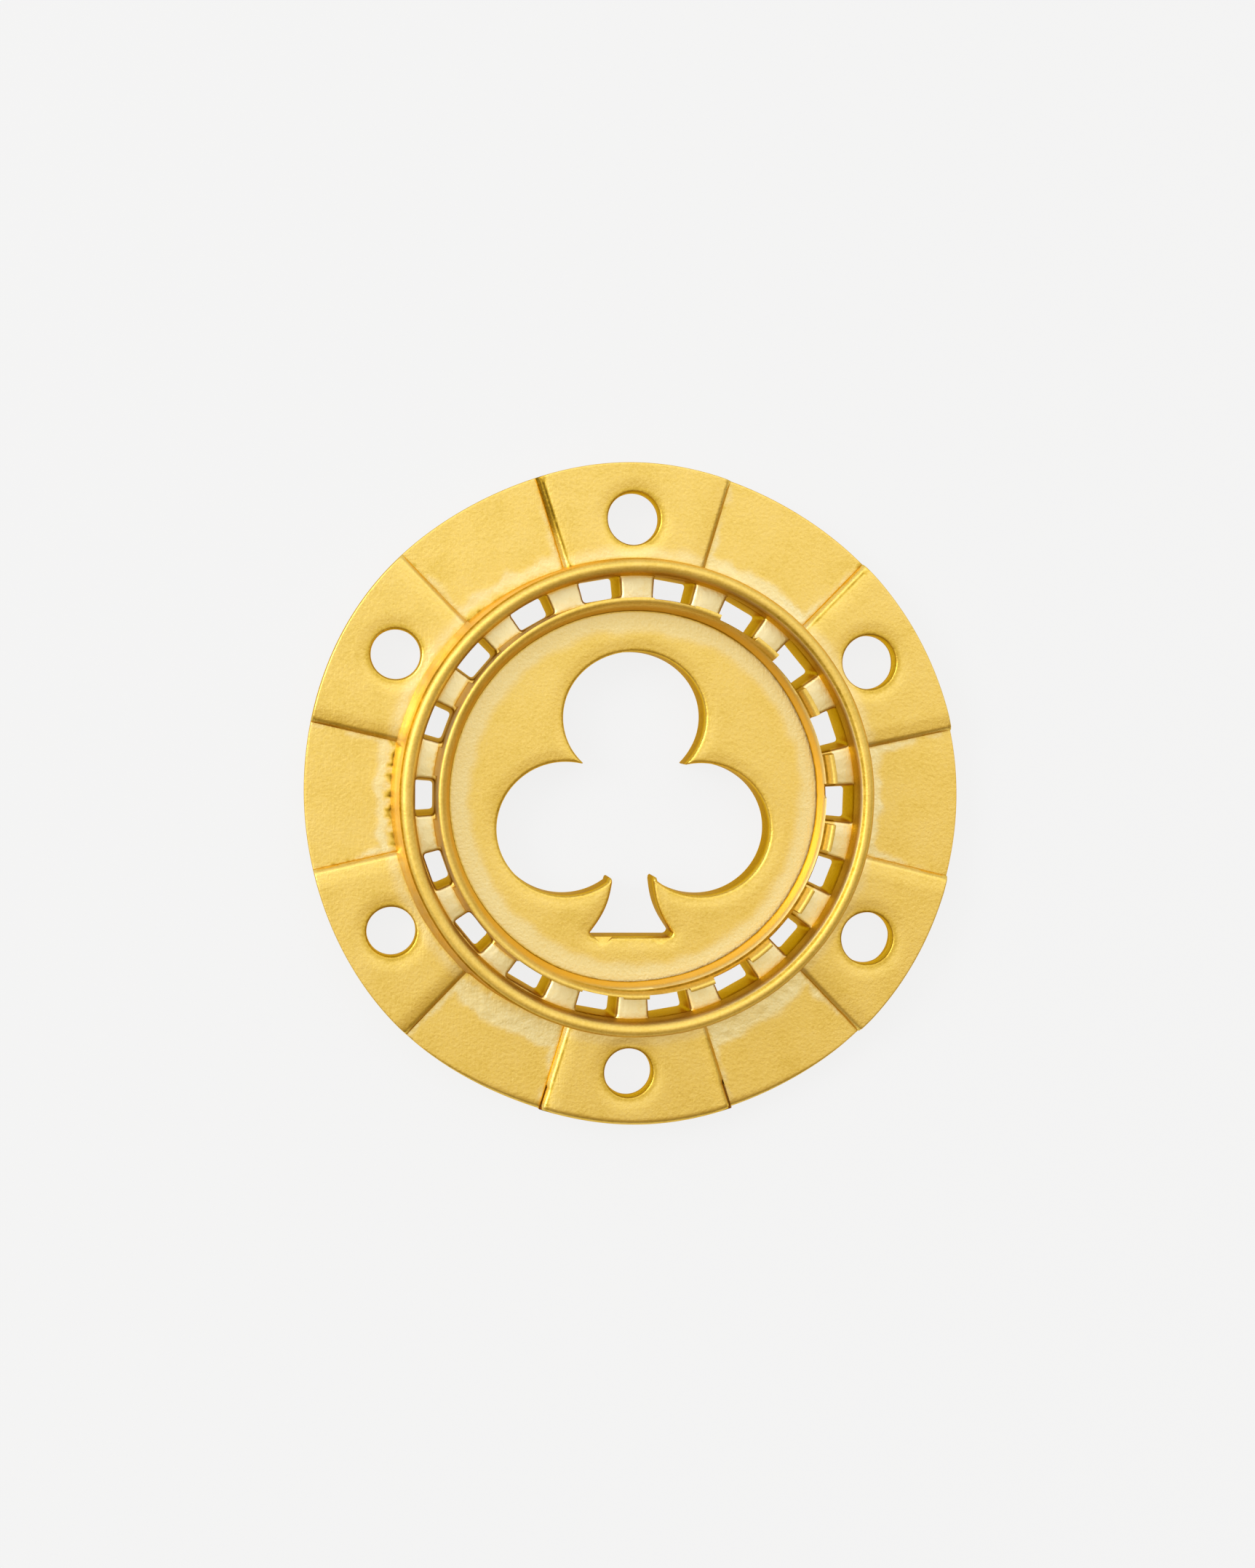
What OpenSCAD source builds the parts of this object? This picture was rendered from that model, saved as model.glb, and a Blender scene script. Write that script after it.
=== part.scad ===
// Dealer button: a gilt metal disc with six raised edge pads, a ring of windows between two beads,
// and a centre medallion pierced with a club.
// Origin: centre of the flat back face. +Z points up out of the decorated face. Units: mm.

/* [Flange] */
// Outer diameter of the plain flange
flange_d = 50.6; // [50:0.1:56]
// Height of the plain flange face above the back
flange_h = 2.4; // [1.6:0.1:3.2]
// Radius rolled on the bottom edge of the flange rim
rim_round = 0.6; // [0.2:0.05:0.8]
// Radius rolled on the top edge of the flange between the pads
edge_round = 0.35; // [0.1:0.05:0.6]
// Diameter of the circle the rim holes sit on
hole_circle_d = 42.4; // [42:0.1:43]
// Diameter of each rim hole
hole_d = 4; // [2:0.1:4.8]

/* [Edge pads] */
// Outer diameter across the raised pads
pad_d = 50.8; // [50:0.1:56]
// Height of the pad faces above the back
pad_top = 3.2; // [2.6:0.1:4]
// Angular width of one pad, degrees
pad_angle = 33; // [24:1:44]
// Radius rolled on the outer rim of a pad
pad_round = 0.35; // [0.1:0.05:0.6]
// Width of the bevel along the two straight sides of a pad
pad_bevel = 0.25; // [0.05:0.05:0.5]

/* [Beads] */
// Height of the bead crests above the back
bead_top = 6.1; // [5:0.1:7]
// Outer radius of the foot of the outer bead
skirt_r = 18.5; // [18.2:0.05:18.7]
// Inner radius of the outer bead
outer_bead_in = 16.85; // [16.6:0.05:16.9]
// Radius of the round top of the outer bead
outer_bead_round = 0.6; // [0.45:0.05:0.65]
// Outer radius of the inner bead
inner_bead_out = 15.7; // [15.5:0.05:15.9]
// Inner radius of the inner bead
inner_bead_in = 14.2; // [14:0.05:14.3]

/* [Windows] */
// Number of windows round the ring
window_count = 18; // [12:1:20]
// Angular width of a window at the front, degrees
window_angle = 10.6; // [6:0.1:11]
// Side draft of a window, degrees
window_draft = 3.5; // [0:0.5:5]
// Inner radius of the windows
window_in = 15.1; // [15:0.05:15.4]
// Height of the ribs between the windows
rib_top = 4.0; // [3.6:0.1:4.4]
// Width of the rail that joins the ribs on each side
rail_w = 0.4; // [0.3:0.05:0.6]

/* [Medallion] */
// Height of the medallion face above the back
dish_top = 3.4; // [2.6:0.1:3.8]
// Width of the cove at the medallion rim
cove_w = 1.6; // [0.8:0.1:2]
// Rise of the cove at the medallion rim
cove_h = 0.25; // [0.05:0.05:0.5]

/* [Club] */
// Radius of the top leaf
top_leaf_r = 5.3; // [4.4:0.1:5.4]
// Height of the centre of the top leaf above the middle
top_leaf_y = 5.8; // [5.4:0.1:6.4]
// Radius of the two side leaves
side_leaf_r = 5.2; // [4.4:0.1:5.3]
// Sideways distance of the side leaves from the middle
side_leaf_x = 5.2; // [4.4:0.05:5.6]
// Distance of the side leaves below the middle
side_leaf_y = 2.3; // [1.8:0.1:2.8]
// Half width of the stem at its neck
neck_half = 1.5; // [0.8:0.1:1.6]
// Half width of the stem at its foot
foot_half = 2.9; // [2:0.05:3.2]
// Distance of the foot of the stem below the middle
foot_y = 10.6; // [9.8:0.1:11.2]

/* [Hidden] */
$fn = 120;
eps = 0.02;
pads = 6;
pad_start = 30;
pad_step = 360 / pads;
flange_r = flange_d / 2;
pad_r = pad_d / 2;
hole_circle_r = hole_circle_d / 2;
hole_r = hole_d / 2;
outer_round_x = outer_bead_in + outer_bead_round;
outer_round_z = bead_top - outer_bead_round;
inner_bead_round = (inner_bead_out - inner_bead_in) / 2;
inner_round_x = inner_bead_in + inner_bead_round;
inner_round_z = bead_top - inner_bead_round;
window_step = 360 / window_count;
neck_y = -side_leaf_y - 0.78 * side_leaf_r;
foot_round = 0.45;
flare_r = 7.0;

// One rim hole, straight through.
module rim_hole(k) {
    rotate([0, 0, pad_start + k * pad_step]) translate([hole_circle_r, 0, -1])
        cylinder(r = hole_r, h = pad_top + 2);
}

// Section of what a rolled edge of radius r takes off an outer corner at the origin.
module edge_roll(r) {
    difference() {
        translate([-r, -r]) square(r + 1);
        translate([-r, -r]) circle(r = r);
    }
}

// Plain lower flange: carries the pads and holds the six rim holes.
module flange_ring() {
    color([0.93, 0.77, 0.36]) difference() {
        rotate_extrude() difference() {
            translate([skirt_r, 0]) square([flange_r - skirt_r, flange_h]);
            translate([flange_r, 0]) mirror([0, 1]) edge_roll(rim_round);
        }
        for (k = [0 : pads - 1]) {
            rim_hole(k);
            rotate([0, 0, pad_start + k * pad_step + pad_angle / 2])
                rotate_extrude(angle = pad_step - pad_angle)
                    translate([flange_r, flange_h]) edge_roll(edge_round);
        }
    }
}

// Bevel cutter along one straight side of a pad; side is 1 or -1.
module side_bevel(side) {
    rotate([0, 0, side * pad_angle / 2]) translate([0, 0, pad_top])
        rotate([-side * 45, 0, 0])
            translate([0, -2 * pad_bevel, -pad_bevel / sqrt(2)]) cube([pad_r + 5, 4 * pad_bevel, 3]);
}

// Raised pad number k, standing on the flange, with its rim hole.
module edge_pad(k) {
    color([0.95, 0.8, 0.42]) difference() {
        rotate([0, 0, pad_start + k * pad_step]) difference() {
            rotate([0, 0, -pad_angle / 2]) rotate_extrude(angle = pad_angle) difference() {
                translate([skirt_r, flange_h]) square([pad_r - skirt_r, pad_top - flange_h]);
                translate([pad_r, pad_top]) edge_roll(pad_round);
            }
            side_bevel(1);
            side_bevel(-1);
        }
        rim_hole(k);
    }
}

// Cutter for one window: an arc between the two beads with drafted sides.
module window(k) {
    rotate([0, 0, k * window_step]) intersection() {
        difference() {
            translate([0, 0, -1]) cylinder(r = outer_bead_in, h = bead_top + 2);
            translate([0, 0, -2]) cylinder(r = window_in, h = bead_top + 4);
        }
        window_side(1);
        window_side(-1);
    }
}

// Half space on one side of a window, tipped by the draft about the front edge of the rib.
module window_side(side) {
    rotate([0, 0, side * window_angle / 2]) translate([0, 0, rib_top])
        rotate([-side * window_draft, 0, 0])
            translate([window_in - 2, side > 0 ? -8 : 0, -rib_top - 3]) cube([4, 8, rib_top + 8]);
}

// Outer bead: round-topped ring with a sloping skirt, seated on the outer rail of the window ring.
module outer_bead_ring() {
    color([0.87, 0.68, 0.25]) rotate_extrude() {
        translate([outer_bead_in + rail_w, 0]) square([skirt_r - outer_bead_in - rail_w, flange_h]);
        translate([outer_bead_in + rail_w, flange_h - eps])
            square([outer_bead_round * 2 - rail_w, outer_round_z - flange_h + eps]);
        translate([outer_bead_in, rib_top]) square([outer_bead_round * 2, outer_round_z - rib_top]);
        translate([outer_round_x, outer_round_z]) circle(r = outer_bead_round);
        polygon([[outer_round_x, flange_h - eps], [skirt_r, flange_h - eps],
                 [outer_round_x + outer_bead_round, outer_round_z], [outer_round_x, outer_round_z]]);
    }
}

// Ladder of ribs and windows with a thin rail on each side.
module window_ring() {
    color([0.95, 0.84, 0.57]) difference() {
        rotate_extrude() translate([window_in - rail_w, 0])
            square([outer_bead_in - window_in + 2 * rail_w, rib_top]);
        for (k = [0 : window_count - 1]) window(k);
    }
}

// Inner bead: round-topped ring on the inner rail; the windows bite into its outer flank.
module inner_bead_ring() {
    color([0.87, 0.68, 0.25]) difference() {
        rotate_extrude() {
            translate([inner_bead_in, 0]) square([window_in - rail_w - inner_bead_in, rib_top + eps]);
            translate([inner_bead_in, rib_top])
                square([inner_bead_round * 2, inner_round_z - rib_top]);
            translate([inner_round_x, inner_round_z]) circle(r = inner_bead_round);
        }
        for (k = [0 : window_count - 1]) window(k);
    }
}

// Outline of the club: three leaves and a flared stem.
module club() {
    translate([0, top_leaf_y]) circle(r = top_leaf_r);
    for (s = [-1, 1]) translate([s * side_leaf_x, -side_leaf_y]) circle(r = side_leaf_r);
    polygon([[-neck_half, top_leaf_y], [neck_half, top_leaf_y], [neck_half, neck_y],
             [-neck_half, neck_y]]);
    difference() {
        union() {
            polygon([[-neck_half, neck_y + 1], [neck_half, neck_y + 1], [neck_half, neck_y],
                     [foot_half, -foot_y + foot_round], [-foot_half, -foot_y + foot_round],
                     [-neck_half, neck_y]]);
            translate([-foot_half + foot_round, -foot_y])
                square([2 * (foot_half - foot_round), 2 * foot_round]);
            for (s = [-1, 1]) translate([s * (foot_half - foot_round), -foot_y + foot_round])
                circle(r = foot_round);
        }
        for (s = [-1, 1]) translate([s * flare_x(), flare_y()]) circle(r = flare_r);
    }
}

// The flank of the stem is hollowed by a circle through the neck point and the foot point.
function chord_dx() = foot_half - neck_half;
function chord_dy() = -foot_y + foot_round - neck_y;
function chord_l() = sqrt(pow(chord_dx(), 2) + pow(chord_dy(), 2));
function apothem() = sqrt(pow(flare_r, 2) - pow(chord_l() / 2, 2));
function flare_x() = (foot_half + neck_half) / 2 - apothem() * chord_dy() / chord_l();
function flare_y() = (neck_y - foot_y + foot_round) / 2 + apothem() * chord_dx() / chord_l();

// Centre disc, coved up at its rim and pierced with the club.
module club_medallion() {
    color([0.94, 0.8, 0.38]) difference() {
        rotate_extrude() polygon([[0, 0], [inner_bead_in, 0], [inner_bead_in, dish_top + cove_h],
                                  [inner_bead_in - cove_w, dish_top], [0, dish_top]]);
        translate([0, 0, -1]) linear_extrude(dish_top + 2) club();
    }
}

flange_ring();
edge_pad(0);  // edge_pad_1
edge_pad(1);  // edge_pad_2
edge_pad(2);  // edge_pad_3
edge_pad(3);  // edge_pad_4
edge_pad(4);  // edge_pad_5
edge_pad(5);  // edge_pad_6
outer_bead_ring();
window_ring();
inner_bead_ring();
club_medallion();
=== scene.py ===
"""Dealer button: a gilt cast disc with edge pads, two beads, a ladder of windows and a club.

The part lies flat on a pale table, face up. Every visible piece replaces its CAD node. Lengths are
written in millimetres and multiplied by MM where a mesh, light or camera takes them.
"""
import math

import bmesh
import bpy
import numpy as np
from mathutils import Matrix, Vector, noise
from mathutils.geometry import delaunay_2d_cdt


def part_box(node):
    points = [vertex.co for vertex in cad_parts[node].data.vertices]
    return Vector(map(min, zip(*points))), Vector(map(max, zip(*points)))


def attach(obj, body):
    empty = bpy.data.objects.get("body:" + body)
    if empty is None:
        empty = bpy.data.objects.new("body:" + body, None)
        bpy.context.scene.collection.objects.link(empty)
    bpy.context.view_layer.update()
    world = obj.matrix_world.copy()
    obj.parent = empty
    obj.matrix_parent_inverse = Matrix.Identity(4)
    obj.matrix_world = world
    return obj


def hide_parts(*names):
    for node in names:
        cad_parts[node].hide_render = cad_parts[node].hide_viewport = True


MM = 0.001
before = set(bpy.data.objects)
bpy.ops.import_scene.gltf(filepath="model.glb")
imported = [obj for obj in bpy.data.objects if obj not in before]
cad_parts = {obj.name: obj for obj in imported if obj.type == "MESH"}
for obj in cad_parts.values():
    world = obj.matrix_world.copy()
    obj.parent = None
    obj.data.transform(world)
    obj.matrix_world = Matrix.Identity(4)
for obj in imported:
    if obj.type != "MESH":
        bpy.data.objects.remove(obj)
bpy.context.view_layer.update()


def reach(node):
    """Outer radius and top height of a CAD node, in millimetres."""
    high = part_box(node)[1]
    return high.x / MM, high.z / MM


# ---------------------------------------------------------------- sizes, mm
FLANGE_R, FLANGE_H = reach("flange_ring")
RIB_TOP = reach("window_ring")[1]
PAD_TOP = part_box("edge_pad_2")[1].z / MM
HOLE_CIRCLE_R = 21.2
# Number of pads, angle of the first one's middle and step to the next, degrees.
PADS, PAD_MIDDLE, PAD_PITCH = 6, 30, 60
# Inner radius of the flange and the pads, hidden under the skirt of the outer bead.
FLANGE_IN, PAD_IN = 17.92, 17.95
# The rim is rolled only outside this radius.
ROLL_ZONE = 23
# Radius, x shift and y shift of each rim hole; like the pads, they are not quite regular.
HOLES = [(2.06, -0.30, -0.02), (1.97, -0.41, 0.02), (1.87, 0.04, 0.04), (1.85, -0.10, 0.30),
         (1.84, -0.24, 0.04), (1.99, -0.08, -0.21)]
# How much smaller than the CAD flange the finished rim is on average.
RIM_FINISH = 0.02
# Slow wander of the hand-finished rim: number of lobes, height in mm, angle of a crest in degrees.
RIM_WANDER = [(1, 0.144, 48.2), (2, 0.16, -46.2), (3, 0.03, 0.8), (5, 0.04, 6.8), (6, 0.06, 30.8),
              (8, 0.03, 2.3)]
# Start and end angle of each pad, degrees; the casting is not quite regular.
PAD_SPANS = [(12.3, 46.1), (73.7, 108.3), (134.5, 167.5), (193.0, 226.6), (253.4, 288.3), (314.5, 346.5)]
# Look of a pad's side, by pad and by its start (0) or end (1): a double side gets a second dark stroke and a
# soft side a broad band, both painted shade; the others are a plain thin line of painted shade.
SIDE_LOOK = {(0, 1): "double", (1, 1): "double", (4, 0): "double", (2, 1): "soft", (3, 1): "soft",
             (4, 1): "soft"}
# Fall of a pad's face at its two sides, and distance of a double line's second stroke from the side.
SIDE_FALL, LINE_GAP = 0.45, 0.52
# Skirt of the outer bead: radius and height where it leaves the crest, radius of its foot, flare on the left.
SKIRT_TOP_R, SKIRT_TOP_Z, SKIRT_FOOT_R, SKIRT_FLARE = 18.07, 5.5, 18.26, 0.38
# Medallion: radius, height of its face, width and rise of the cove at its rim.
MEDALLION_R, DISH_TOP, COVE_W, COVE_H = 14.2, 3.4, 1.9, 0.05
# Shift of the club from the middle.
CLUB_X, CLUB_Y = -0.08, -0.08
# Inner and outer radius of the ladder, under the two beads.
RAIL_IN, RAIL_OUT = 14.36, 17.02
WINDOWS = 18
# Turn in degrees and extra half width in mm of each window: none is quite regular.
WINDOW_FAULTS = [(-1.05, -0.1), (-0.4, 0), (0.5, 0.17), (0.7, 0.11), (0.75, 0.03), (0.75, 0.03),
                 (0.3, 0), (0.0, -0.04), (-0.05, -0.13), (0.2, -0.14), (0.1, -0.1), (-0.2, 0),
                 (-0.3, 0.07), (-0.2, 0.03), (-0.5, 0.08), (-0.8, 0.07), (-0.95, -0.14), (-1.05, -0.14)]
# Outer radius of the windows at top and foot.
WINDOW_OUT_TOP, WINDOW_OUT_FOOT = 16.86, 16.84
# Half widths of a window at its top and foot, measured at the radius of the middle of the ladder.
WINDOW_HALF_TOP, WINDOW_HALF_FOOT = 1.49, 1.24
LADDER_MID = 15.9
WINDOW_CORNER = 0.3
# Centre and half axes of the top leaf and the right leaf, then the point where their edges meet.
TOP_LEAF, SIDE_LEAF = (0.0, 6.17, 5.46, 5.03), (5.2, -2.35, 5.32, 5.1)
CUSP = (3.86, 2.62)
# Stem: half widths at neck and foot and their heights, then the fuller left flank and the heel's radius.
NECK_HALF, NECK_Y, FOOT_HALF, FOOT_Y = 1.5, -6.33, 3.03, -10.6
LEFT_NECK_HALF, LEFT_FOOT_HALF = 1.64, 3.3
HEEL_R = 0.35

# ---------------------------------------------------------------- small maths


def smooth(x, lo, hi):
    """0 below lo, 1 above hi, an S curve between; lo may be above hi."""
    t = min(1.0, max(0.0, (x - lo) / (hi - lo)))
    return t * t * (3 - 2 * t)


def wave(x, y, scale, seed):
    """Smooth noise from -1 to 1 whose features are about scale mm wide."""
    return noise.noise(Vector((x / scale + 17.3 * seed, y / scale - 9.1 * seed, seed)))


def polar(radius, angle, cx=0.0, cy=0.0):
    """Point at a radius and an angle in radians from a centre."""
    return (cx + radius * math.cos(angle), cy + radius * math.sin(angle))


def arc(cx, cy, radius, start, stop, step=0.2):
    """Points on an arc from start to stop, radians, about step mm apart."""
    count = max(2, round(abs(stop - start) * radius / step))
    return [polar(radius, start + (stop - start) * i / count, cx, cy) for i in range(count + 1)]


def circle(radius, count, cx=0.0, cy=0.0):
    """Points evenly spaced round a circle."""
    return [polar(radius, 2 * math.pi * i / count, cx, cy) for i in range(count)]


def roll(gap, radius):
    """Drop of a rolled edge of that radius, at a gap from the edge."""
    if gap >= radius:
        return 0.0
    return radius - math.sqrt(max(0.0, radius ** 2 - (radius - gap) ** 2))


def within(points, outline, margin):
    """Which points lie in an outline's bounding box grown by a margin."""
    return ((points > outline.min(0) - margin) & (points < outline.max(0) + margin)).all(1)


def gaps_to(points, outline, limit=2.5):
    """Distance of each point to a closed outline, for points no further from its box than limit."""
    a = np.asarray(outline)
    b = np.roll(a, -1, axis=0)
    out = np.full(len(points), limit)
    todo = np.flatnonzero(within(points, a, limit))
    for some in np.array_split(todo, len(todo) // 3000 + 1):
        p = points[some]
        nearest = ((p[:, None, 0] - a[None, :, 0]) ** 2 + (p[:, None, 1] - a[None, :, 1]) ** 2).argmin(1)
        for start in (nearest, nearest - 1):
            ap, ab = p - a[start], b[start] - a[start]
            t = np.clip((ap * ab).sum(1) / (ab ** 2).sum(1), 0, 1)[:, None]
            found = np.linalg.norm(ap - t * ab, axis=1)
            out[some] = np.minimum(out[some], found) if start is not nearest else found
    return out


def inside(points, outline):
    """Even-odd test of each point against a closed outline."""
    a = np.asarray(outline)
    b = np.roll(a, -1, axis=0)
    out = np.zeros(len(points), bool)
    todo = np.flatnonzero(within(points, a, 0))
    x, y = points[todo, 0, None], points[todo, 1, None]
    span = (a[:, 1] > y) != (b[:, 1] > y)
    slope = (b[:, 0] - a[:, 0]) / np.where(b[:, 1] == a[:, 1], 1, b[:, 1] - a[:, 1])
    out[todo] = (span & (x < slope * (y - a[:, 1]) + a[:, 0])).sum(1) % 2 == 1
    return out


# ---------------------------------------------------------------- mesh builders


def piece(name, verts, faces, tones, material, node):
    """Mesh object from points in mm; tone, which carries painted shade and painted highlights, is kept per
    vertex and drives the gilt's colour.
    """
    mesh = bpy.data.meshes.new(name)
    mesh.from_pydata([Vector(v) * MM for v in verts], [], faces)
    tone = mesh.attributes.new("tone", "FLOAT", "POINT")
    tone.data.foreach_set("value", tones)
    bm = bmesh.new()
    bm.from_mesh(mesh)
    bmesh.ops.recalc_face_normals(bm, faces=bm.faces)
    bm.to_mesh(mesh)
    bm.free()
    mesh.shade_smooth()
    mesh.set_sharp_from_angle(angle=math.radians(48))
    mesh.materials.append(material)
    obj = bpy.data.objects.new(name, mesh)
    bpy.context.collection.objects.link(obj)
    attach(obj, "root")
    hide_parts(node)
    return obj


def scatter(outlines, rings, spacing):
    """Points inside a plate: rows that follow every outline at the ring gaps, then a hex grid."""
    rows = []
    for index, outline in enumerate(outlines):
        a = np.asarray(outline)
        tangent = np.roll(a, -1, axis=0) - np.roll(a, 1, axis=0)
        tangent /= np.linalg.norm(tangent, axis=1)[:, None]
        normal = np.stack([-tangent[:, 1], tangent[:, 0]], 1)
        probe = a[:1] + normal[:1] * 0.01
        if bool(inside(probe, outline)[0]) != (index == 0):
            normal = -normal
        for gap in rings:
            rows.append((gap, a + normal * gap))
    low, high = np.asarray(outlines[0]).min(0), np.asarray(outlines[0]).max(0)
    ys = np.arange(low[1], high[1], spacing * 0.866)
    xs = np.arange(low[0], high[0], spacing)
    grid = np.array([(x + (j % 2) * spacing / 2, y) for j, y in enumerate(ys) for x in xs])
    rows.append((rings[-1] + 0.6 * spacing if rings else 0.5 * spacing, grid))
    points = np.concatenate([row for _, row in rows])
    room = np.concatenate([np.full(len(row), 0.93 * gap) for gap, row in rows])
    good = inside(points, outlines[0])
    for outline in outlines[1:]:
        good &= ~inside(points, outline)
    points, room = points[good], room[good]
    near = np.min([gaps_to(points, o) for o in outlines], axis=0)
    return points[near > room]


def fill(outlines, extra):
    """Triangles over the area inside the first outline and outside the others."""
    points = np.concatenate([np.asarray(o) for o in outlines] + ([extra] if len(extra) else []))
    edges, start = [], 0
    for outline in outlines:
        count = len(outline)
        edges += [(start + i, start + (i + 1) % count) for i in range(count)]
        start += count
    done = delaunay_2d_cdt([Vector(p) for p in points], edges, [], 1, 1e-7)
    source = [o[0] for o in done[3]]
    triangles = np.array([[source[i] for i in t] for t in done[2]])
    middle = points[triangles].mean(1)
    good = np.ones(len(middle), bool)
    for outline in outlines[1:]:
        good &= ~inside(middle, outline)
    return points, triangles[good]


def plate(name, walls, top, rings, spacing, material, node):
    """Closed solid. walls: for each outline, levels (outline, z, tone) from the top down, the outer
    wall first; top(x, y, gaps) gives height and tone of the upper face."""
    outlines = [levels[0][0] for levels in walls]
    points, triangles = fill(outlines, scatter(outlines, rings, spacing))
    gaps = np.stack([gaps_to(points, o) for o in outlines], 1)
    counts = [len(o) for o in outlines]
    owner = np.repeat(np.arange(len(counts)), counts)
    gaps[np.arange(len(owner)), owner] = 0.0
    verts, tones = [], []
    for (x, y), gap in zip(points, gaps):
        z, tone = top(x, y, gap)
        verts.append((x, y, z))
        tones.append(tone)
    faces = [tuple(t) for t in triangles]
    last, start = [], 0
    for levels in walls:
        count = len(levels[0][0])
        row = list(range(start, start + count))
        start += count
        for outline, z, tone in levels[1:]:
            new = list(range(len(verts), len(verts) + count))
            verts += [(x, y, z) for x, y in outline]
            tones += [tone] * count
            faces += [(row[i], row[(i + 1) % count], new[(i + 1) % count], new[i]) for i in range(count)]
            row = new
        last += row
    _, under = fill([levels[-1][0] for levels in walls], [])
    faces += [tuple(last[i] for i in t) for t in under]
    return piece(name, verts, faces, tones, material, node)


def revolve(name, profile, angles, shape, material, node):
    """Ring solid from a closed (r, z) profile; shape(r, z, angle, index) gives r, z and tone."""
    verts, tones = [], []
    for angle in angles:
        for index, (r, z) in enumerate(profile):
            r, z, tone = shape(r, z, angle, index)
            verts.append((*polar(r, angle), z))
            tones.append(tone)
    n, m = len(angles), len(profile)
    faces = [(i * m + j, i * m + (j + 1) % m, (i + 1) % n * m + (j + 1) % m, (i + 1) % n * m + j)
             for i in range(n) for j in range(m)]
    return piece(name, verts, faces, tones, material, node)


# ---------------------------------------------------------------- materials

# Noise scales of the gilding, per metre: drifting shade, specks, orange peel and brush hairs.
CLOUD_SCALE, SPECK_SCALE, PEEL_SCALE, HAIR_SCALE = 420, 5200, 3800, 7000
# Depth in metres of the fine grain in the gilding.
GRAIN_DEPTH = 0.000028
# Colour of the gilding by tone: dark where shade is painted into lines, hollows and walls, gold, then pale
# where highlights are painted.
GILT_RAMP = [(0.0, (0.16, 0.09, 0.006)), (0.2, (0.48, 0.29, 0.025)), (0.38, (0.78, 0.53, 0.085)),
             (0.5, (0.92, 0.66, 0.165)), (0.7, (0.93, 0.70, 0.25)), (0.9, (0.95, 0.78, 0.37)),
             (1.0, (0.97, 0.85, 0.48))]


def node_tree(material):
    """Nodes and links of a new material."""
    material.use_nodes = True
    return material.node_tree.nodes, material.node_tree.links


def noise_node(nodes, links, coord, scale, detail, rough=0.5):
    """Output of a noise texture."""
    tex = nodes.new("ShaderNodeTexNoise")
    tex.inputs["Scale"].default_value = scale
    tex.inputs["Detail"].default_value = detail
    tex.inputs["Roughness"].default_value = rough
    links.new(coord, tex.inputs["Vector"])
    return tex.outputs["Fac"]


def maths(nodes, links, operation, *values):
    """Output of a maths node; the values are numbers or sockets."""
    node = nodes.new("ShaderNodeMath")
    node.operation = operation
    for socket, value in zip(node.inputs, values):
        if isinstance(value, (int, float)):
            socket.default_value = value
        else:
            links.new(value, socket)
    return node.outputs[0]


def ramp_node(nodes, links, value, stops):
    """Colour ramp through (position, colour) stops, in order."""
    ramp = nodes.new("ShaderNodeValToRGB")
    elements = ramp.color_ramp.elements
    for element, (position, colour) in zip(elements, (stops[0], stops[-1])):
        element.position = position
        element.color = (*colour, 1)
    for position, colour in stops[1:-1]:
        elements.new(position).color = (*colour, 1)
    links.new(value, ramp.inputs["Fac"])
    return ramp.outputs["Color"]


def gilt(name, rough, grain):
    """Satin gilding: colour from the tone attribute with its painted shade and highlights, orange peel, brush
    hairs, uneven polish.
    """
    material = bpy.data.materials.new(name)
    nodes, links = node_tree(material)
    shader = nodes["Principled BSDF"]
    shader.inputs["Metallic"].default_value = 1.0
    shader.inputs["Specular Tint"].default_value = (0.80, 0.52, 0.10, 1)
    coord = nodes.new("ShaderNodeTexCoord").outputs["Object"]
    tone = nodes.new("ShaderNodeAttribute")
    tone.attribute_name = "tone"
    cloud = noise_node(nodes, links, coord, CLOUD_SCALE, 5, 0.6)
    speck = noise_node(nodes, links, coord, SPECK_SCALE, 3, 0.6)
    clouded = maths(nodes, links, "MULTIPLY_ADD", cloud, 0.16, -0.08)
    toned = maths(nodes, links, "ADD", tone.outputs["Fac"], clouded)
    spot = maths(nodes, links, "MULTIPLY_ADD", speck, 0.24, -0.12)
    toned = maths(nodes, links, "ADD", toned, spot)
    links.new(ramp_node(nodes, links, toned, GILT_RAMP), shader.inputs["Base Color"])
    polish = maths(nodes, links, "MULTIPLY_ADD", cloud, 0.14, rough - 0.07)
    links.new(polish, shader.inputs["Roughness"])
    brushed = nodes.new("ShaderNodeMapping")
    brushed.inputs["Rotation"].default_value = (0, 0, math.radians(-45))
    brushed.inputs["Scale"].default_value = (1, 0.06, 1)
    links.new(coord, brushed.inputs["Vector"])
    hair = noise_node(nodes, links, brushed.outputs["Vector"], HAIR_SCALE, 2)
    peel = noise_node(nodes, links, coord, PEEL_SCALE, 4, 0.6)
    height = maths(nodes, links, "MULTIPLY_ADD", hair, 0.3, peel)
    bump = nodes.new("ShaderNodeBump")
    bump.inputs["Strength"].default_value = grain
    bump.inputs["Distance"].default_value = GRAIN_DEPTH
    links.new(height, bump.inputs["Height"])
    links.new(bump.outputs["Normal"], shader.inputs["Normal"])
    return material


def table_top():
    """Pale table that glows a little, as under a light tent, so the openings read plain white."""
    material = bpy.data.materials.new("pale_table")
    shader = node_tree(material)[0]["Principled BSDF"]
    shader.inputs["Base Color"].default_value = (0.06, 0.06, 0.06, 1)
    shader.inputs["Roughness"].default_value = 1.0
    shader.inputs["Specular IOR Level"].default_value = 0.0
    shader.inputs["Emission Color"].default_value = (1, 1, 1, 1)
    shader.inputs["Emission Strength"].default_value = 0.84
    return material


# ---------------------------------------------------------------- flange and pads


def pad_span(angle):
    """True where a pad covers the flange at this angle in degrees."""
    return any(a <= angle % 360 <= b for a, b in PAD_SPANS)


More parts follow.
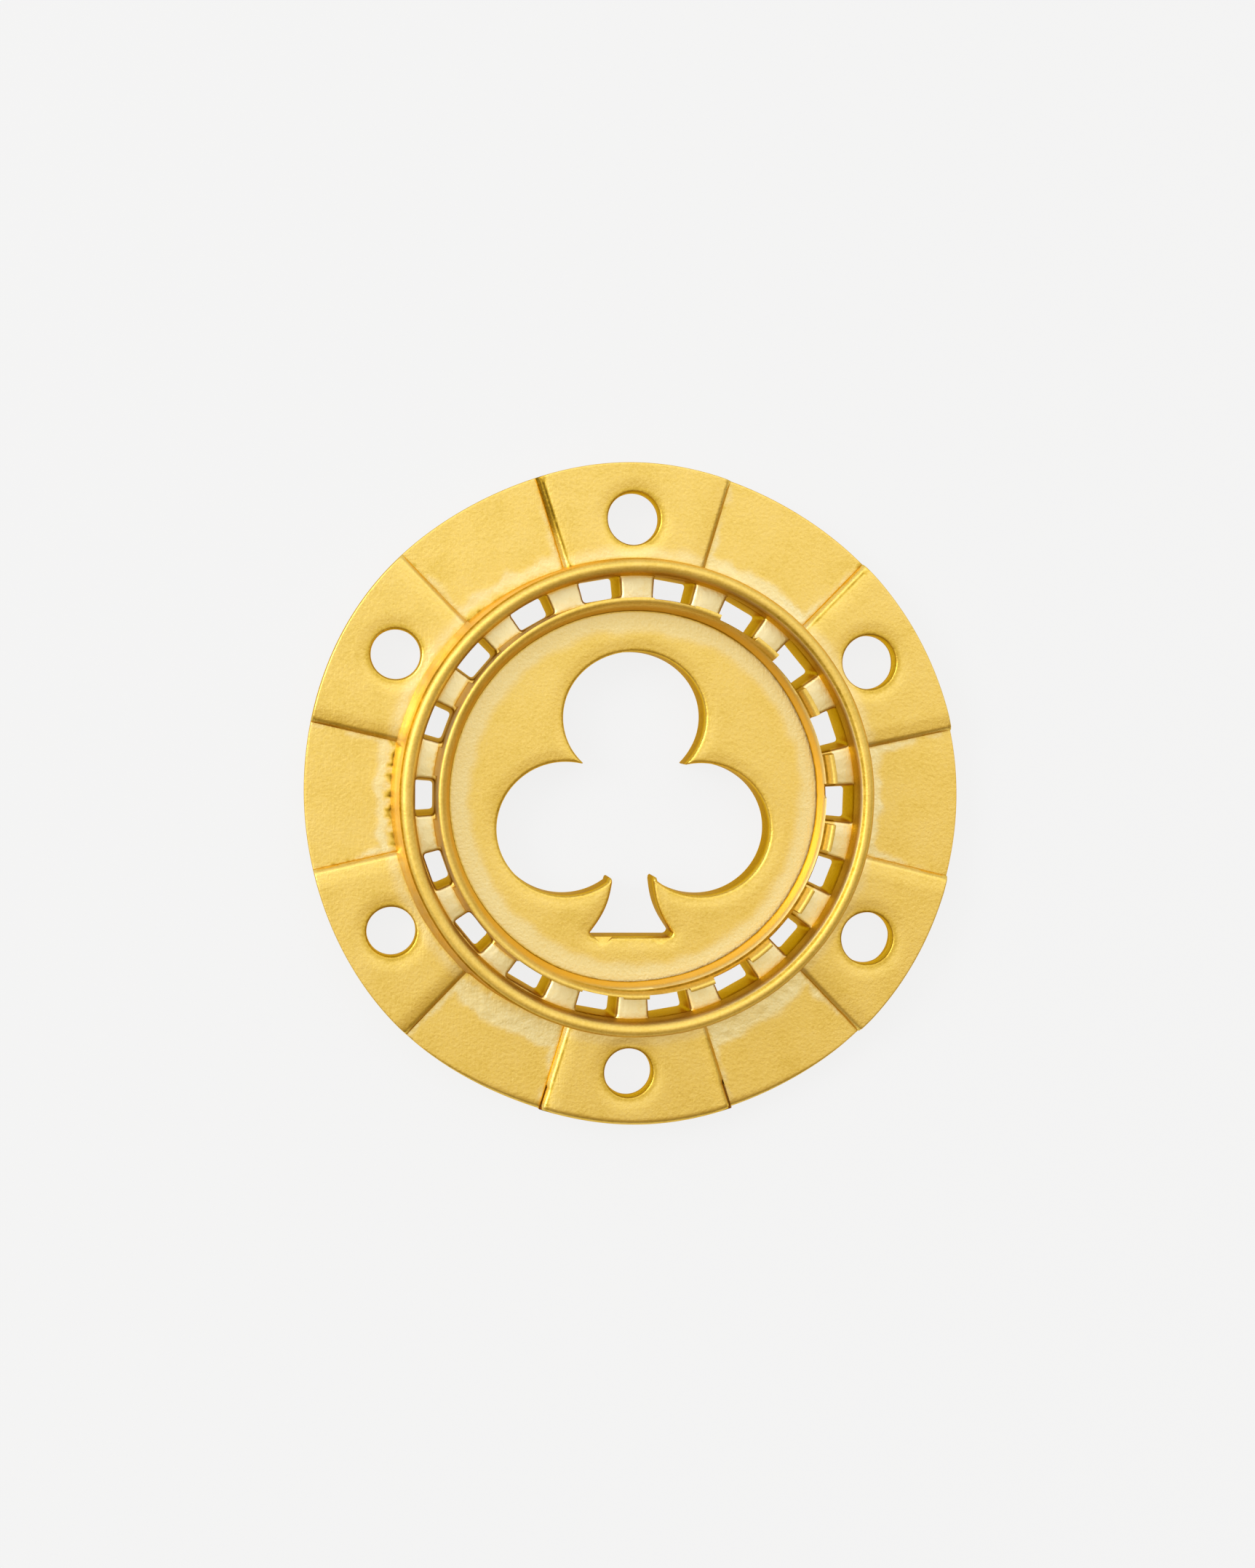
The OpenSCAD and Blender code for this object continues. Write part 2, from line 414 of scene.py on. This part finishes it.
def hole_centres():
    """Centre of each rim hole."""
    middles = [math.radians(PAD_MIDDLE + PAD_PITCH * k) for k in range(PADS)]
    return [polar(HOLE_CIRCLE_R, middle, *hole[1:]) for middle, hole in zip(middles, HOLES)]


def rim_radius(angle):
    """Radius of the hand-finished rim."""
    wander = sum(h * math.cos(n * (angle - math.radians(crest))) for n, h, crest in RIM_WANDER)
    return FLANGE_R - RIM_FINISH + wander


def left_side(angle):
    """1 on the left of the button, where the skirt is wide, 0 elsewhere."""
    return smooth(-math.cos(angle), 0.3, 0.95)


def skirt_foot(angle):
    """Radius of the outer bead's foot."""
    return SKIRT_FOOT_R + SKIRT_FLARE * left_side(angle)


def skirt_radius(angle, z):
    """Radius of the bead's outer skirt at a height: wide on the left, steep elsewhere."""
    floor = PAD_TOP if pad_span(math.degrees(angle)) else FLANGE_H
    fallen = min(1.0, max(0.0, (SKIRT_TOP_Z - z) / (SKIRT_TOP_Z - floor)))
    return SKIRT_TOP_R + (skirt_foot(angle) - SKIRT_TOP_R) * fallen ** 4


def rim_roll(x, y, gap):
    """Drop at the rim: a crisp edge all round, softer at the foot of the button."""
    return roll(gap, 0.1 + 0.4 * smooth(-math.sin(math.atan2(y, x)), 0.75, 0.98))


def cove(angle, inner, rise):
    """Rise of the face where it sweeps up to the bead."""
    return rise * (1 - 0.85 * left_side(angle)) * smooth(inner, 1.1, -0.25) ** 2


def flange_top(x, y, gaps):
    """Height and tone of the upper face of the flange between the pads."""
    r, a = math.hypot(x, y), math.atan2(y, x)
    z, tone = FLANGE_H, 0.5
    if r > ROLL_ZONE:
        z -= rim_roll(x, y, gaps[0])
    if not pad_span(math.degrees(a)):
        side = min(abs((math.degrees(a) - e + 180) % 360 - 180) for span in PAD_SPANS for e in span)
        side_gap = math.radians(side) * r
        inner = r - skirt_foot(a)
        wide = 1.1 + 0.9 * smooth(-math.sin(a), 0.3, 0.9)
        ragged_side = side_gap + wide - 0.6 + 0.6 * wave(x, y, 1.5, 2) + 0.1 * inner
        edge = min(inner + 0.6 * wave(x, y, 1.3, 1), ragged_side)
        # The pale band along the bead's foot and the pad sides, paler or less so by direction, is a painted
        # highlight.
        pale = smooth(edge, wide + 0.25, wide - 0.2)
        z += 0.03 * wave(x, y, 5, 3) + 0.035 * pale * wave(x, y, 0.5, 4) + 0.02 * smooth(edge, 1.6, 0.2)
        z += cove(a, inner, 0.07)
        tone += (0.42 - 0.12 * smooth(math.cos(a - 2.1), 0.3, 0.9)) * pale + 0.05 * wave(x, y, 3, 5)
        # Dark lines at the bead's foot and at the pad sides, and dark specks along the foot on the left, are
        # painted shade.
        speckle = left_side(a) * smooth(inner, 0.6, 0.3) * smooth(wave(x, y, 0.55, 9), -0.4, 0.3)
        tone -= 0.32 * smooth(inner, 0.16, -0.05) + 0.25 * smooth(side_gap, 0.10, 0.02) + 0.6 * speckle
    return z, tone


def flange_ring(material):
    """Plain lower flange with its six holes."""
    angles = [2 * math.pi * i / 600 for i in range(600)]

    def ring(inset):
        return [polar(rim_radius(a) - inset, a) for a in angles]

    # The wall tones, the last entry of each level, are painted shade: the rim darkens towards its foot, and
    # the inner and hole walls are darker still.
    outer = [(ring(0), 0, 0), (ring(-0.01), 1.8, 0.5), (ring(0), 0.6, 0.48), (ring(0.16), 0.2, 0.45),
             (ring(0.55), 0, 0.4)]
    inner = [(circle(FLANGE_IN, 300), 0, 0.3), (circle(FLANGE_IN, 300), 0, 0.3)]
    holes = []
    for k, (cx, cy) in enumerate(hole_centres()):
        r = HOLES[k][0]
        holes.append([(circle(r + 0.02, 72, cx, cy), 0, 0.35), (circle(r, 72, cx, cy), 1.7, 0.3),
                      (circle(r + 0.28, 72, cx, cy), 0.5, 0.3), (circle(r + 0.4, 72, cx, cy), 0, 0.4)])
    plate("flange", [outer, inner] + holes, flange_top, [0.05, 0.12, 0.22, 0.36], 0.3,
          material, "flange_ring")


def sector(r_in, outer, start, stop, corner):
    """Outline of a ring sector with cut corners; outer is a function of the angle."""
    r_out = outer(0.5 * (start + stop))
    outline = []
    for i in range(61):
        a = start + corner / r_out + (stop - start - 2 * corner / r_out) * i / 60
        outline.append(polar(outer(a), a))
    for i in range(29):
        outline.append(polar(outer(stop) - corner - (outer(stop) - r_in - corner) * i / 28, stop))
    for i in range(1, 44):
        outline.append(polar(r_in, stop - (stop - start) * i / 44))
    for i in range(29):
        outline.append(polar(r_in + (outer(start) - r_in - corner) * i / 28, start))
    return outline


def edge_pad(k, material):
    """Raised pad number k, standing on the flange."""
    cx, cy = hole_centres()[k]
    hole_r = HOLES[k][0]
    start, stop = (math.radians(v) for v in PAD_SPANS[k])

    def rim(inset):
        turn = inset / 22
        return sector(PAD_IN, lambda a: rim_radius(a) - inset, start + turn, stop - turn, 0.05)

    def top(x, y, gaps):
        r, a = math.hypot(x, y), math.atan2(y, x)
        turns = [(a - end + math.pi) % (2 * math.pi) - math.pi for end in (start, stop)]
        start_gap, stop_gap = (abs(turn) * r for turn in turns)
        side_gap = min(start_gap, stop_gap)
        near = 0 if start_gap < side_gap + 1e-6 else 1
        inner = r - skirt_foot(a)
        z = PAD_TOP - roll(gaps[1], 0.18) - 0.09 * smooth(gaps[1], 1.2, 0.1)
        z -= SIDE_FALL * smooth(side_gap, 0.42, -0.2) + 0.10 * smooth(side_gap, 1.5, 0.1)
        z += cove(a, inner, 0.05)
        if r > ROLL_ZONE:
            z -= rim_roll(x, y, gaps[0])
        z += 0.02 * wave(x, y, 6, 6 + k) + 0.006 * wave(x, y, 0.8, 20 + k)
        # The pale band towards the bead is a painted highlight.
        pale = smooth(inner + 0.3 * wave(x, y, 1.4, 7), 1.2, 0.4)
        tone = 0.5 + 0.26 * pale + 0.04 * wave(x, y, 3, 8)
        # Dark lines at the pad's sides and at the bead's foot are painted shade.
        tone -= 0.28 * smooth(side_gap, 0.07, 0.0) + 0.32 * smooth(inner, 0.14, -0.06)
        look = SIDE_LOOK.get((k, near))
        # A double side gets a second painted dark stroke, and pad 2 a painted dark wedge along that side
        # towards the rim; a soft side gets a broad band of painted shade.
        if look == "double":
            line = smooth(abs(side_gap - LINE_GAP), 0.13, 0.03) * smooth(wave(x, y, 0.6, 10), -0.9, 0.1)
            wedge = smooth(side_gap, 0.55, 0.35) * smooth(r, 19.5, 22.5)
            tone -= 0.4 * line + 0.4 * wedge if k == 1 else 0.28 * line
            z -= 0.03 * line
        elif look == "soft":
            z -= 0.05 * smooth(side_gap, 1.1, 0.2)
            tone -= 0.08 * smooth(side_gap, 0.9, 0.2)
        # Painted shade round the hole, in its dimple.
        tone -= 0.2 * smooth(gaps[1], 0.6, 0.05)
        return z, tone

    # Wall tones are below the face's: painted shade on the pad's side and in its hole.
    outer = [(rim(0.04), 0, 0), (rim(0.03), 2.7, 0.35), (rim(0.01), FLANGE_H, 0.3)]
    hole = [(circle(hole_r + 0.03, 72, cx, cy), 0, 0.4), (circle(hole_r, 72, cx, cy), FLANGE_H, 0.35)]
    plate(f"pad_{k + 1}", [outer, hole], top, [0.03, 0.07, 0.13, 0.21, 0.31, 0.44, 0.6], 0.32,
          material, f"edge_pad_{k + 1}")


# ---------------------------------------------------------------- beads


def window_middle(k):
    """Angle of the middle of window k."""
    return 2 * math.pi * k / WINDOWS + math.radians(WINDOW_FAULTS[k][0])


def window_angle(angle):
    """Angle in radians from the middle of the nearest window, and that window's middle."""
    pitch = 2 * math.pi / WINDOWS
    k = round(angle / pitch) % WINDOWS
    middle = window_middle(k)
    return (angle - middle + math.pi) % (2 * math.pi) - math.pi, middle


def notch_radius(middle):
    """Inner end of a window: deep in the bead on one side of the button, shallow on the other."""
    return 14.89 - 0.46 * math.cos(middle) + 0.25 * smooth(math.cos(middle - 1.6), 0.7, 1.0)


def ring_angles(extra):
    """Angles of the columns of a bead: even steps, closer at the two sides of each window."""
    pitch = 2 * math.pi / WINDOWS
    steps = [-0.5 + i / 24 for i in range(24)]
    edges = [side * (extra + d) / pitch for side in (-1, 1) for d in (-0.004, -0.0015, 0.0, 0.002, 0.006)]
    steps = sorted([s for s in steps if min(abs(s - e) for e in edges) > 0.012] + edges)
    return [window_middle(k) + s * pitch for k in range(WINDOWS) for s in steps]


# Half angle of a window where it meets each bead, radians; the notch in the inner bead is a little wider.
OUTER_HALF = WINDOW_HALF_TOP / LADDER_MID
NOTCH_MID, NOTCH_MORE = 15.4, 0.12
NOTCH_HALF = (WINDOW_HALF_TOP + NOTCH_MORE) / NOTCH_MID
# Section of the outer bead, radius and height, from the foot of its inner flank over the crest and back.
OUTER_PROFILE = [(16.84, 3.92), (16.85, 4.3), (16.86, 4.8), (16.88, 5.2), (16.92, 5.5), (16.99, 5.70),
                 (17.07, 5.84), (17.14, 5.91), (17.19, 5.95), (17.25, 5.99), (17.33, 6.03), (17.43, 6.07),
                 (17.54, 6.08), (17.65, 6.06), (17.77, 6.0), (17.87, 5.91), (17.94, 5.80), (17.99, 5.70),
                 (18.03, 5.60), (18.06, 5.46), (18.09, 5.2), (18.13, 4.6), (18.18, 4.1), (18.25, 3.7),
                 (18.32, 3.4), (18.4, 3.15), (18.5, 2.8), (18.5, 2.35), (17.95, 2.2), (17.95, 0.0),
                 (17.04, 0.0), (17.04, 3.9)]
# Points of that section by what they belong to.
OUTER_FLANK, OUTER_LIP, OUTER_IN_LINE = range(0, 5), range(5, 7), range(7, 10)
OUTER_OUT_LINE, OUTER_SKIRT, OUTER_FLARE = range(16, 19), range(19, 26), range(20, 28)


def outer_bead(material):
    """Tall round-topped ring with its skirt; the windows reach its inner flank."""
    def shape(r, z, angle, index):
        x, y = polar(r, angle)
        right = math.cos(angle)
        tone = 0.47
        pad = pad_span(math.degrees(angle))
        if index in OUTER_FLARE:
            r = skirt_radius(angle, z)
        if z > 3.0:
            r += 0.02 * wave(x, y, 4, 11)
            z += 0.025 * wave(x, y, 5, 12) + 0.008 * wave(x, y, 0.9, 13)
        if index in OUTER_FLANK:
            # The inner flank is toned down as painted shade.
            tone = 0.36
            if abs(window_angle(angle)[0]) < OUTER_HALF:
                r = max(r, WINDOW_OUT_TOP)
        elif index in OUTER_LIP:
            # Painted highlight on the lip, lighter towards the right.
            tone = 0.5 + 0.3 * smooth(right, 0.0, 0.7)
        elif index in OUTER_IN_LINE:
            # A shallow dip with a dark line painted in it: painted shade, on the right.
            cut = smooth(right, 0.2, 0.8) * (0.7 + 0.3 * wave(x, y, 0.35, 14))
            tone = 0.48 - 0.34 * cut
            z -= 0.035 * cut
        elif index in OUTER_OUT_LINE:
            # A shallow dip with a dark line painted in it: painted shade, on the left.
            cut = smooth(-right, 0.1, 0.7) * (0.75 + 0.25 * wave(x, y, 0.4, 15))
            tone = 0.48 - 0.36 * cut
            z -= 0.05 * cut
        elif index in OUTER_SKIRT:
            # The skirt is painted lighter on the left, where it faces the light: a painted highlight.
            lit_left = smooth(-right, 0.0, 0.6)
            tone = 0.34 + (0.42 if pad else 0.48) * lit_left + (0.03 + 0.18 * pad * lit_left) * wave(x, y, 0.5, 16)
        return r, z, tone

    angles = ring_angles(OUTER_HALF)
    revolve("bead_outer", OUTER_PROFILE, angles, shape, material, "outer_bead_ring")


# Section of the inner bead, from the medallion over the crest to the ladder and back.
INNER_PROFILE = [(14.2, 0.0), (14.2, 3.2), (14.2, 3.5), (14.22, 3.75), (14.27, 4.15), (14.33, 4.6),
                 (14.39, 5.05), (14.44, 5.35), (14.49, 5.55), (14.55, 5.7), (14.60, 5.78), (14.65, 5.84),
                 (14.72, 5.92), (14.81, 6.0), (14.91, 6.05), (15.02, 6.05), (15.13, 6.0), (15.23, 5.9),
                 (15.32, 5.72), (15.39, 5.48), (15.46, 5.2), (15.54, 4.8), (15.62, 4.4), (15.68, 4.1),
                 (15.7, 3.94), (15.3, 3.92), (14.38, 3.92), (14.38, 0.0)]
# Points of that section by what they belong to.
INNER_FOOT, INNER_LOW_BAND, INNER_HIGH_BAND = range(0, 4), range(4, 7), range(7, 9)
INNER_GROOVE, INNER_CAST = range(9, 11), range(0, 24)
INNER_SLOPE, INNER_SLOPE_PALE, INNER_NOTCHED = range(17, 25), range(17, 23), range(0, 26)
# Radius of the crest, width of the outer slope where it is full, and height from which the bead is uneven.
CREST_R, SLOPE_W, CAST_ABOVE = 15.0, 0.7, 3.6
# On the right the inner flank is stepped: a steep foot, a small ledge and a groove below the crest.
STEPPED_FLANK = {3: (13.95, 3.72), 4: (14.02, 4.15), 5: (14.08, 4.6), 6: (14.14, 5.0), 7: (14.24, 5.2),
                 8: (14.38, 5.32), 9: (14.46, 5.29), 10: (14.52, 5.36), 11: (14.58, 5.55),
                 12: (14.70, 5.82)}


def surface_height(profile, radius):
    """Height of the upper surface of a profile at a radius."""
    best = 0.0
    for (r0, z0), (r1, z1) in zip(profile, profile[1:]):
        if r0 <= radius <= r1 and r1 > r0:
            best = max(best, z0 + (z1 - z0) * (radius - r0) / (r1 - r0))
    return best


def bead_foot(angle):
    """Outer foot radius of the inner bead: the casting leaves it slimmer at top and bottom."""
    right = math.cos(angle)
    return 15.05 + 0.35 * smooth(right, 0.6, 1.0) + 0.5 * smooth(-right, 0.1, 0.9)


def inner_bead(material):
    """Round-topped ring round the medallion, bitten by the windows."""
    def shape(r, z, angle, index):
        x, y = polar(r, angle)
        right = math.cos(angle)
        tone = 0.46
        if index in INNER_SLOPE:
            r = CREST_R + (r - CREST_R) * (bead_foot(angle) - CREST_R) / SLOPE_W
        stepped = smooth(math.cos(angle + 0.45), -0.1, 0.7)
        if index in STEPPED_FLANK:
            r += (STEPPED_FLANK[index][0] - r) * stepped
            z += (STEPPED_FLANK[index][1] - z) * stepped
        if z > CAST_ABOVE and index in INNER_CAST:
            r += 0.02 * wave(x, y, 4, 21)
            z += 0.025 * wave(x, y, 5, 22) + 0.010 * wave(x, y, 0.9, 23)
        if index in INNER_FOOT:
            # The foot next to the dish is painted dark: painted shade.
            tone = 0.1 + 0.1 * wave(x, y, 0.5, 24)
        elif index in INNER_LOW_BAND:
            # The bands are painted lighter on the stepped side: a painted highlight.
            tone = 0.5 + 0.15 * stepped
        elif index in INNER_HIGH_BAND:
            tone = 0.5 + 0.2 * stepped
        elif index in INNER_GROOVE:
            # Painted shade in the groove on the stepped side.
            tone = 0.48 - 0.42 * stepped * (0.75 + 0.25 * wave(x, y, 0.35, 25))
        elif index in INNER_SLOPE_PALE:
            # The outer slope is painted pale towards the left: a painted highlight.
            tone = 0.42 + 0.58 * smooth(-right, 0.1, 0.7)
        off, middle = window_angle(angle)
        notch = notch_radius(middle) - 0.06 * smooth(math.cos(middle - 0.5), 0.4, 1.0)
        if abs(off) < NOTCH_HALF and r > notch and index in INNER_NOTCHED:
            z = min(z, surface_height(INNER_PROFILE, notch))
            # The notch's face is toned down as painted shade.
            r, tone = notch, 0.3
        return r, z, tone

    angles = ring_angles(NOTCH_HALF)
    revolve("bead_inner", INNER_PROFILE, angles, shape, material, "inner_bead_ring")


# ---------------------------------------------------------------- ladder of windows


def window_outline(middle, half, r_in, r_out, corner):
    """Rounded four-sided opening between two radii, half wide on either side at the ladder's middle."""
    corners = [(r_in, -half), (r_out, -half), (r_out, half), (r_in, half)]
    outline = []
    for i, (u, v) in enumerate(corners):
        before, after = corners[i - 1], corners[(i + 1) % 4]
        for step in range(7):
            t = step / 6
            p, q = [], []
            for axis in (0, 1):
                c = (u, v)[axis]
                p.append(c + corner * np.sign(before[axis] - c))
                q.append(c + corner * np.sign(after[axis] - c))
            w = [(1 - t) ** 2, 2 * t * (1 - t), t * t]
            outline.append(tuple(w[0] * p[j] + w[1] * (u, v)[j] + w[2] * q[j] for j in (0, 1)))
        length = math.hypot(after[0] - u, after[1] - v) - 2 * corner
        steps = 9 if i % 2 else round((WINDOW_OUT_TOP - r_in) / 0.25)
        sign = [np.sign(after[j] - (u, v)[j]) for j in (0, 1)]
        for s in range(1, steps):
            d = corner + length * s / steps
            outline.append((u + sign[0] * d, v + sign[1] * d))
    cos, sin = math.cos(middle), math.sin(middle)
    outline = [(u, v * u / LADDER_MID) for u, v in outline]
    return [(u * cos - v * sin, u * sin + v * cos) for u, v in outline]


def ladder(material):
    """Ring of ribs and windows between the beads."""
    def top(x, y, gaps):
        r = math.hypot(x, y)
        gap = min(gaps[2:])
        z = RIB_TOP - roll(gap, 0.28) - 0.05 * smooth(gap, 0.9, 0.25)
        z += 0.015 * wave(x, y, 2.5, 31) + 0.008 * wave(x, y, 0.5, 32)
        # The rib tops are painted pale, a painted highlight; their ends and the edges of the windows get
        # painted shade.
        ends = smooth(WINDOW_OUT_TOP - r, 0.14, 0.02) + smooth(r - bead_foot(math.atan2(y, x)), 0.14, 0.02)
        tone = 1.0 + 0.08 * wave(x, y, 0.7, 33) - 0.5 * min(1.0, ends) - 0.3 * smooth(gap, 0.14, 0.02)
        return z, tone

    # Wall tones, the last entry of each level, are low: painted shade on the rails and window walls.
    walls = [[(circle(RAIL_OUT, 240), 0, 0.4), (circle(RAIL_OUT, 240), 0, 0.4)],
             [(circle(RAIL_IN, 240), 0, 0.4), (circle(RAIL_IN, 240), 0, 0.4)]]
    for k in range(WINDOWS):
        middle = window_middle(k)
        notch = notch_radius(middle)
        levels = []
        for t, z, tone in ((0, 0, 0.3), (0.25, 3.0, 0.32), (0.6, 1.6, 0.34), (1, 0.12, 0.36), (1, 0, 0.4)):
            half = WINDOW_HALF_TOP + (WINDOW_HALF_FOOT - WINDOW_HALF_TOP) * t + WINDOW_FAULTS[k][1]
            out = WINDOW_OUT_TOP + (WINDOW_OUT_FOOT - WINDOW_OUT_TOP) * t
            out -= 0.2 * smooth(math.cos(middle - 3.85), 0.6, 1.0)
            levels.append((window_outline(middle, half, notch, out, WINDOW_CORNER), z, tone))
        walls.append(levels)
    plate("ladder", walls, top, [0.04, 0.09, 0.16, 0.25, 0.36], 0.22, material, "window_ring")


# ---------------------------------------------------------------- medallion


def leaf(cx, cy, rx, ry, start, stop):
    """Part of a leaf's edge from the direction of point start to that of point stop."""
    a, b = (math.atan2((p[1] - cy) / ry, (p[0] - cx) / rx) for p in (start, stop))
    return [(cx + rx * x, cy + ry * y) for x, y in arc(0, 0, 1, a, b + 2 * math.pi * (b < a - 0.1), 0.04)]


def half_club(neck_half, foot_half):
    """Half of the club on the right side, from the middle of the foot up to the top."""
    drop = 0.7 * (neck_half - NECK_HALF)
    neck, heel = (neck_half, NECK_Y - drop), (foot_half, FOOT_Y + HEEL_R)
    half = [(0.0, FOOT_Y), (0.8, FOOT_Y), (1.6, FOOT_Y)]
    half += arc(foot_half - HEEL_R, FOOT_Y + HEEL_R, HEEL_R, -math.pi / 2, 0, 0.12)
    for step in range(1, 17):
        t = step / 16
        bow = 0.32 * math.sin(math.pi * t)
        x, y = (heel[i] + (neck[i] - heel[i]) * t for i in (0, 1))
        half.append((x - bow, y - 0.2 * bow))
    for x, y in ((0.02, -6.14), (0.08, -6.03), (0.17, -6.0), (0.28, -6.07)):
        half.append((neck_half + x, y - drop))
    half += leaf(*SIDE_LEAF, (neck_half + 0.4, -6.25 - drop), (CUSP[0] + 0.14, CUSP[1]))
    half += leaf(*TOP_LEAF, (CUSP[0], CUSP[1] + 0.14), (0.0, 20.0))
    return half


def club_outline():
    """Outline of the club; the left flank of its stem stands further out."""
    left = half_club(LEFT_NECK_HALF, LEFT_FOOT_HALF)
    whole = half_club(NECK_HALF, FOOT_HALF) + [(-x, y) for x, y in left[-2:0:-1]]
    return [(x + CLUB_X - 0.1 * smooth(y, 1, 4), y + CLUB_Y) for x, y in whole]


def medallion(material):
    """Centre disc, coved up at its rim and pierced with the club."""
    club = club_outline()

    def top(x, y, gaps):
        rise = smooth(gaps[0], COVE_W, 0.0)
        z = DISH_TOP + COVE_H * rise ** 2 - roll(gaps[1], 0.26)
        z -= 0.08 * smooth(gaps[1], 1.1, 0.1)
        z += 0.03 * wave(x, y, 7, 41) + 0.004 * wave(x, y, 0.8, 42)
        # The pale band round the rim of the dish is a painted highlight; the dark line at the bead's foot and
        # the darkening at the club's edge are painted shade.
        tone = 0.5 + 0.34 * smooth(gaps[0] + 0.4 * wave(x, y, 1.6, 43), 1.9, 1.1) + 0.04 * wave(x, y, 3, 44)
        tone -= 0.45 * smooth(gaps[0], 0.16, 0.02) + 0.1 * smooth(gaps[1], 0.5, 0.1)
        return z, tone

    # Wall tones are low: painted shade on the club's walls.
    outer = [(circle(MEDALLION_R, 360), 0, 0.3), (circle(MEDALLION_R, 360), 0, 0.4)]
    inner = [(club, 0, 0.5), (club, 2.2, 0.22), (club, 0.15, 0.25), (club, 0, 0.4)]
    plate("medallion", [outer, inner], top, [0.03, 0.07, 0.12, 0.18, 0.26, 0.36, 0.5], 0.3,
          material, "club_medallion")


# ---------------------------------------------------------------- table, light, camera

# Camera: direction it stands in, what it aims at and how far off it is in mm, and the lean of its up axis.
CAMERA_SIDE, CAMERA_AIM, CAMERA_AWAY, CAMERA_LEAN = (-0.133, 0.045, 0.99), (-0.23, 0.90, 0), 177.8, -0.014
LENS = 52.55
# Light of the tent by height: the horizon and all below it, then up to straight overhead.
TENT_HEIGHT = [(0.0, (0.55, 0.55, 0.55)), (0.45, (0.8, 0.8, 0.8)), (0.8, (1.3, 1.3, 1.3)),
               (0.93, (1.15, 1.15, 1.15)), (1.0, (0.92, 0.92, 0.92))]
# Light of the tent across, from the top left to the bottom right.
TENT_SIDE = [(0.25, (1.2, 1.2, 1.26)), (0.42, (0.95, 0.97, 1.05)), (0.48, (0.88, 0.88, 0.98)),
             (0.54, (0.95, 0.94, 0.92)), (0.6, (1.02, 0.99, 0.9)), (0.65, (0.96, 0.87, 0.68)),
             (0.76, (0.6, 0.51, 0.31)), (0.92, (0.38, 0.29, 0.14))]


def table(material):
    """Flat table just under the button."""
    half = 1.5
    mesh = bpy.data.meshes.new("table")
    corners = [(-half, -half, 0), (half, -half, 0), (half, half, 0), (-half, half, 0)]
    mesh.from_pydata(corners, [], [(0, 1, 2, 3)])
    mesh.materials.append(material)
    obj = bpy.data.objects.new("table", mesh)
    obj.location.z = -0.02 * MM
    bpy.context.collection.objects.link(obj)


def sky():
    """Light tent: brightest to the top left, dim and warm to the bottom right."""
    world = bpy.data.worlds.new("tent")
    bpy.context.scene.world = world
    world.use_nodes = True
    nodes, links = world.node_tree.nodes, world.node_tree.links
    background = nodes["Background"]
    coord = nodes.new("ShaderNodeTexCoord").outputs["Generated"]
    split = nodes.new("ShaderNodeSeparateXYZ")
    links.new(coord, split.inputs[0])
    along = maths(nodes, links, "MULTIPLY_ADD", split.outputs["Y"], -0.75, 0.5)
    across = maths(nodes, links, "MULTIPLY_ADD", split.outputs["X"], 0.25, along)
    mix = nodes.new("ShaderNodeMix")
    mix.data_type, mix.blend_type = "RGBA", "MULTIPLY"
    mix.inputs["Factor"].default_value = 1.0
    links.new(ramp_node(nodes, links, split.outputs["Z"], TENT_HEIGHT), mix.inputs["A"])
    links.new(ramp_node(nodes, links, across, TENT_SIDE), mix.inputs["B"])
    links.new(mix.outputs["Result"], background.inputs["Color"])
    background.inputs["Strength"].default_value = 0.97


def soft_box(name, direction, distance, size, power):
    """Round area light aimed at the button; distance and size in mm."""
    light = bpy.data.lights.new(name, "AREA")
    light.shape, light.size, light.energy = "DISK", size * MM, power
    obj = bpy.data.objects.new(name, light)
    aim = Vector(direction).normalized()
    obj.location = aim * distance * MM
    obj.rotation_euler = aim.to_track_quat("Z", "Y").to_euler()
    bpy.context.collection.objects.link(obj)


def camera():
    """Seen from above, seven and a half degrees from the left, a little from the top, rolled a little."""
    cam = bpy.data.cameras.new("camera")
    cam.lens, cam.sensor_fit, cam.sensor_height, cam.sensor_width = LENS, "VERTICAL", 36, 36
    cam.clip_start = 0.01
    obj = bpy.data.objects.new("camera", cam)
    obj.location = Vector(CAMERA_SIDE).normalized() * CAMERA_AWAY * MM
    view = (Vector(CAMERA_AIM) * MM - obj.location).normalized()
    right = view.cross(Vector((CAMERA_LEAN, 1, 0))).normalized()
    up = right.cross(view)
    obj.rotation_euler = Matrix((right, up, -view)).transposed().to_euler()
    bpy.context.collection.objects.link(obj)
    bpy.context.scene.camera = obj


def main():
    """Build every piece, the table, the light and the camera."""
    satin = gilt("satin_gilding", 0.36, 1.0)
    bright = gilt("bead_gilding", 0.5, 0.8)
    pale = gilt("rib_gilding", 0.42, 0.8)
    flange_ring(satin)
    for k in range(PADS):
        edge_pad(k, satin)
    outer_bead(bright)
    inner_bead(bright)
    ladder(pale)
    medallion(satin)
    table(table_top())
    sky()
    soft_box("window_light", (-1.0, 0.35, 0.9), 600, 260, 1.2)
    camera()
    bpy.context.scene.view_settings.view_transform = "Standard"


main()
